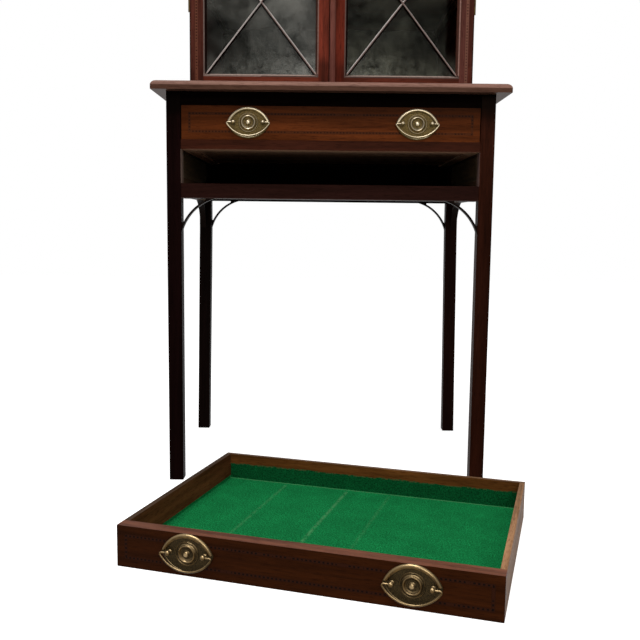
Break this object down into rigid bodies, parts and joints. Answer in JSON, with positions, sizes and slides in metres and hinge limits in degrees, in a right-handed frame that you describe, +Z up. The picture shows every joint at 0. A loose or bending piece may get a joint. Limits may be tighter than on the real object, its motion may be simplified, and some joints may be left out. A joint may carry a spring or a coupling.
{
  "type": "display cabinet",
  "caption": "Mahogany display cabinet with a pair of glazed, cross-barred doors on a square-legged stand with shallow brass-handled drawers, one of them taken out and set on the floor.",
  "frame": {"origin": "on the floor, at the centre of the floor area that the cabinet and the drawer in front of it cover together (the bottom centre of the bounding box)", "axes": "+Z up, +Y towards the back of the cabinet, +X to the right as seen from the front"},
  "size_m": [0.6832, 1.0304, 1.4011],
  "materials": {
    "dark_mahogany": "polished",
    "mahogany": "polished",
    "mahogany_veneer": "polished",
    "drawer_lining_wood": "worn",
    "secondary_wood": "bare",
    "brass": "aged",
    "glass": "dusty",
    "green_baize": "matt"
  },
  "bodies": {
    "cabinet": {"front_left_leg": "dark_mahogany", "front_right_leg": "dark_mahogany", "rear_left_leg": "dark_mahogany", "rear_right_leg": "dark_mahogany", "stand_top": "dark_mahogany", "top_rail": "dark_mahogany", "mid_rail": "dark_mahogany", "bottom_rail": "dark_mahogany", "left_side_rail": "dark_mahogany", "right_side_rail": "dark_mahogany", "back_rail": "dark_mahogany", "dust_board": "secondary_wood", "bottom_board": "secondary_wood", "drawer_runners": "secondary_wood", "drawer_guides": "secondary_wood", "drawer_stops": "secondary_wood", "front_brackets": "dark_mahogany", "side_brackets": "dark_mahogany", "rear_brackets": "dark_mahogany", "case_left_side": "mahogany", "case_right_side": "mahogany", "case_bottom": "mahogany", "case_top": "mahogany", "case_back": "secondary_wood", "shelves": "mahogany", "shelf_bearers": "secondary_wood", "cornice": "mahogany", "case_hinge_leaves": "brass"},
    "left_door": {"left_hinge_stile": "mahogany", "left_meeting_stile": "mahogany", "left_door_rails": "mahogany", "left_glazing": "mahogany", "left_glass": "glass", "left_hinge_leaves": "brass"},
    "right_door": {"right_hinge_stile": "mahogany", "right_meeting_stile": "mahogany", "right_door_rails": "mahogany", "right_glazing": "mahogany", "right_glass": "glass", "right_hinge_leaves": "brass", "astragal_bead": "mahogany", "lock_case": "brass"},
    "lock_bolt": {"lock_bolt": "brass"},
    "upper_drawer": {"upper_drawer_front": "mahogany_veneer", "upper_drawer_sides": "drawer_lining_wood", "upper_drawer_back": "drawer_lining_wood", "upper_drawer_bottom": "drawer_lining_wood", "upper_drawer_handle_plates": "brass", "upper_drawer_handle_posts": "brass"},
    "upper_left_bail": {"upper_drawer_left_bail": "brass"},
    "upper_right_bail": {"upper_drawer_right_bail": "brass"},
    "lower_drawer": {"lower_drawer_front": "mahogany_veneer", "lower_drawer_sides": "drawer_lining_wood", "lower_drawer_back": "drawer_lining_wood", "lower_drawer_bottom": "drawer_lining_wood", "lower_drawer_handle_plates": "brass", "lower_drawer_handle_posts": "brass", "baize_lining": "green_baize"},
    "lower_left_bail": {"lower_drawer_left_bail": "brass"},
    "lower_right_bail": {"lower_drawer_right_bail": "brass"}
  },
  "joints": [
    {"name": "left_door_hinge", "type": "hinge", "parent": "cabinet", "child": "left_door", "pos_m": [-0.28056, 0.12336, 1.06425], "axis": [0, 0, -1], "range_deg": [0, 170]},
    {"name": "right_door_hinge", "type": "hinge", "parent": "cabinet", "child": "right_door", "pos_m": [0.26844, 0.12336, 1.06425], "axis": [0, 0, 1], "range_deg": [0, 170]},
    {"name": "lock_bolt_slide", "type": "slide", "parent": "right_door", "child": "lock_bolt", "axis": [-1, 0, 0], "range_m": [0, 0.007]},
    {"name": "upper_drawer_slide", "type": "slide", "parent": "cabinet", "child": "upper_drawer", "axis": [0, -1, 0], "range_m": [0, 0.3]},
    {"name": "lower_drawer_lift", "type": "slide", "parent": "cabinet", "child": "lower_drawer", "axis": [0, 0, 1], "range_m": [0, 0.15]},
    {"name": "upper_left_bail_hinge", "type": "hinge", "parent": "upper_drawer", "child": "upper_left_bail", "pos_m": [-0.16156, 0.05566, 0.6964], "axis": [-1, 0, 0], "range_deg": [0, 165]},
    {"name": "lower_left_bail_hinge", "type": "hinge", "parent": "lower_drawer", "child": "lower_left_bail", "pos_m": [-0.20986, -0.39314, 0.0344], "axis": [-0.9571, 0.2899, 0], "range_deg": [0, 165]},
    {"name": "upper_right_bail_hinge", "type": "hinge", "parent": "upper_drawer", "child": "upper_right_bail", "pos_m": [0.15744, 0.05566, 0.6964], "axis": [-1, 0, 0], "range_deg": [0, 165]},
    {"name": "lower_right_bail_hinge", "type": "hinge", "parent": "lower_drawer", "child": "lower_right_bail", "pos_m": [0.10454, -0.48836, 0.0344], "axis": [-0.9571, 0.2899, 0], "range_deg": [0, 165]}
  ]
}
